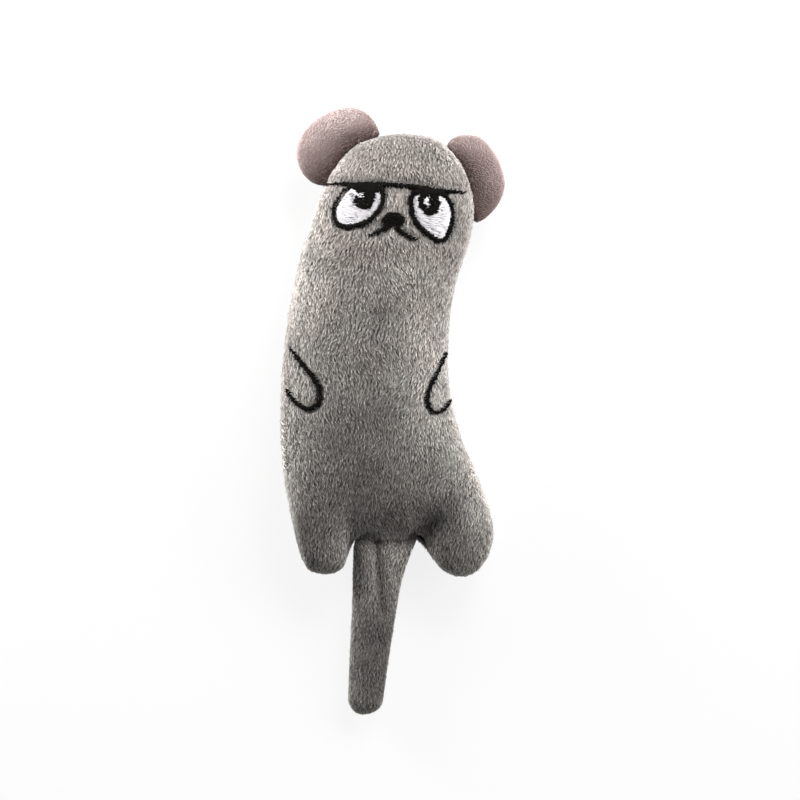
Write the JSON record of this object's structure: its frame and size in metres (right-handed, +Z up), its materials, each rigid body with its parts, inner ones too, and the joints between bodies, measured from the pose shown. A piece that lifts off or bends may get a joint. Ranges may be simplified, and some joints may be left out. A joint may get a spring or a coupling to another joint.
{
  "type": "stuffed catnip mouse",
  "caption": "Long plush cat toy shaped as a lying mouse, with round ears, stub legs, a soft tail, an embroidered face and a catnip sachet inside.",
  "frame": {"origin": "on the surface the toy lies on, under the middle of its overall box", "axes": "+X to the right of someone who looks down at the face, +Y from the tail towards the crown, +Z up out of the face"},
  "size_m": [0.0574, 0.1516, 0.0246],
  "materials": {
    "grey_plush": "short combed velboa plush pile, warm grey, lighter at the edges",
    "pink_plush": "short plush pile, dusty pink grey",
    "fibre_wad": "white polyester filling",
    "muslin": "unbleached cotton muslin",
    "dried_herb": "crushed dry leaf",
    "black_thread": "satin stitch in black polyester thread",
    "white_thread": "fill stitch in white polyester thread",
    "grey_thread": "grey sewing thread",
    "pale_thread": "pale grey sewing thread, whip stitched by hand"
  },
  "bodies": {
    "mouse_body": {"front_panel": "grey_plush", "back_panel": "grey_plush", "head_wad": "fibre_wad", "belly_wad_front": "fibre_wad", "belly_wad_back": "fibre_wad", "left_leg_wad": "fibre_wad", "right_leg_wad": "fibre_wad", "sachet_front": "muslin", "sachet_back": "muslin", "dried_catnip": "dried_herb", "brow_embroidery": "black_thread", "left_eye_outline": "black_thread", "left_eye_white": "white_thread", "left_pupil": "black_thread", "left_eye_glint": "white_thread", "right_eye_outline": "black_thread", "right_eye_white": "white_thread", "right_pupil": "black_thread", "right_eye_glint": "white_thread", "nose_embroidery": "black_thread", "mouth_left": "black_thread", "mouth_right": "black_thread", "left_arm_embroidery": "black_thread", "right_arm_embroidery": "black_thread", "closing_stitches": "pale_thread"},
    "left_ear": {"left_ear_front": "pink_plush", "left_ear_back": "pink_plush", "left_ear_pad": "fibre_wad"},
    "right_ear": {"right_ear_front": "pink_plush", "right_ear_back": "pink_plush", "right_ear_pad": "fibre_wad"},
    "tail_root": {"tail_tack": "grey_thread"},
    "tail": {"tail_sleeve": "grey_plush", "tail_wad": "fibre_wad"}
  },
  "joints": [
    {"name": "left_ear_flop", "type": "hinge", "parent": "mouse_body", "child": "left_ear", "pos_m": [-0.01225, 0.06457, 0.0105], "axis": [0.749, 0.6626, 0], "range_deg": [-45, 45], "stiffness_Nm_per_rad": 0.002},
    {"name": "right_ear_flop", "type": "hinge", "parent": "mouse_body", "child": "right_ear", "pos_m": [0.02014, 0.05842, 0.0105], "axis": [0.3338, -0.9426, 0], "range_deg": [-45, 45], "stiffness_Nm_per_rad": 0.002},
    {"name": "tail_sway", "type": "hinge", "parent": "mouse_body", "child": "tail_root", "pos_m": [-0.00172, -0.03536, 0.0105], "axis": [0, 0, 1], "range_deg": [-8, 22]},
    {"name": "tail_lift", "type": "hinge", "parent": "tail_root", "child": "tail", "pos_m": [-0.00172, -0.03536, 0.0105], "axis": [-1, 0, 0], "range_deg": [-50, 85]}
  ]
}
